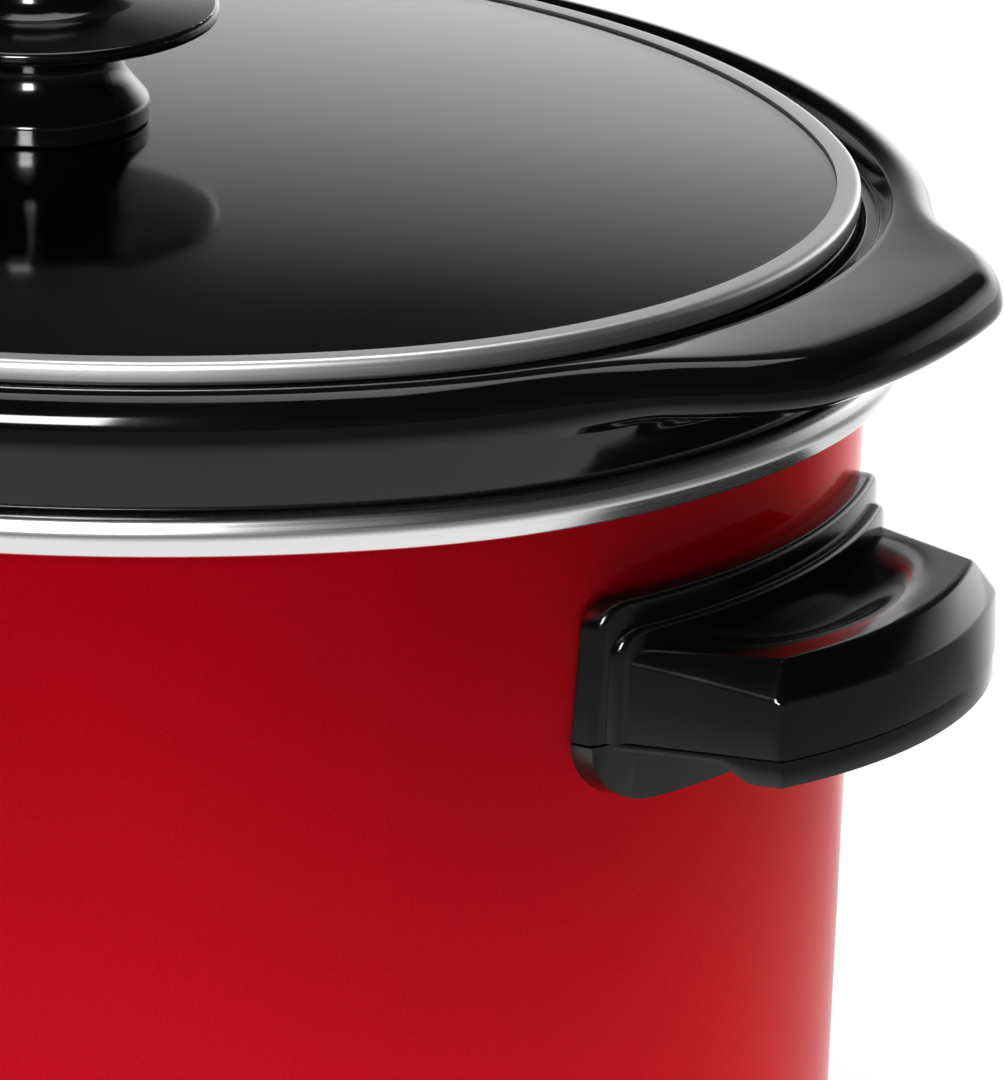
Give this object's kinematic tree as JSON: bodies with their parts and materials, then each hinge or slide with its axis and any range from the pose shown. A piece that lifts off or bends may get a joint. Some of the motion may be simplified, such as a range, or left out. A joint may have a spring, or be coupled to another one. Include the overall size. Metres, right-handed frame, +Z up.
{
  "type": "slow cooker",
  "caption": "Oval slow cooker with a lift-out black stoneware crock, smoked glass lid, red sheet-metal housing, side handles and a front rotary control.",
  "frame": {"origin": "bottom centre of the cooker, on the table under its feet", "axes": "+X along the length through the handles, -Y to the front with the control, +Z up"},
  "size_m": [0.4, 0.3023, 0.2441],
  "materials": {
    "red_housing": "gloss candy lacquer",
    "satin_trim": "satin",
    "liner_steel": "rolled aluminised steel",
    "band_foil": "foil over heater cord",
    "plated_steel": "zinc plated",
    "glass_fibre": "matte felt",
    "black_glaze": "fired gloss glaze over stoneware",
    "smoked_glass": "polished",
    "black_phenolic": "moulded gloss",
    "silicone": "matte",
    "base_steel": "matte powder coat",
    "pale_inlay": "matte",
    "brass_shaft": "turned",
    "switch_body": "moulded phenolic",
    "black_nylon": "fine moulded texture",
    "ceramic": "unglazed steatite",
    "wire_sleeve": "braided silicone sleeve"
  },
  "bodies": {
    "base": {"band_straps": "plated_steel", "base_plate": "base_steel", "control_bezel": "black_phenolic", "cord_gland": "black_nylon", "foot_front_left": "black_nylon", "foot_front_right": "black_nylon", "foot_pad_front_left": "silicone", "foot_pad_front_right": "silicone", "foot_pad_rear_left": "silicone", "foot_pad_rear_right": "silicone", "foot_rear_left": "black_nylon", "foot_rear_right": "black_nylon", "foot_screws": "plated_steel", "fuse_clip": "plated_steel", "fuse_lead": "wire_sleeve", "handle_backing_left": "plated_steel", "handle_backing_right": "plated_steel", "handle_body_left": "black_phenolic", "handle_body_right": "black_phenolic", "handle_cover_left": "black_phenolic", "handle_cover_right": "black_phenolic", "handle_screws": "plated_steel", "heater_lead": "wire_sleeve", "heating_band": "band_foil", "heating_liner": "liner_steel", "insulation_blanket": "glass_fibre", "live_lead": "wire_sleeve", "neutral_lead": "wire_sleeve", "outer_housing": "red_housing", "rotary_switch": "switch_body", "switch_bracket": "plated_steel", "switch_nut": "brass_shaft", "terminal_block": "ceramic", "terminal_screws": "plated_steel", "thermal_fuse": "ceramic", "tie_nut": "plated_steel", "tie_stud": "plated_steel", "tie_washer": "plated_steel", "trim_ring": "satin_trim"},
    "crock": {"stoneware_crock": "black_glaze"},
    "lid": {"lid_glass": "smoked_glass", "lid_band": "satin_trim", "lid_knob_base": "black_phenolic", "lid_knob_grip": "black_phenolic", "lid_knob_screw": "plated_steel", "lid_knob_washer": "silicone"},
    "control": {"control_knob": "black_phenolic", "knob_pointer": "pale_inlay", "knob_shaft": "brass_shaft"}
  },
  "joints": [
    {"name": "crock_lift", "type": "slide", "parent": "base", "child": "crock", "axis": [0, 0, 1], "range_m": [0, 0.16]},
    {"name": "lid_lift", "type": "slide", "parent": "crock", "child": "lid", "axis": [0, 0, 1], "range_m": [0, 0.12]},
    {"name": "control_turn", "type": "hinge", "parent": "base", "child": "control", "pos_m": [0, -0.14, 0.038], "axis": [0, 1, 0], "range_deg": [0, 180]}
  ]
}
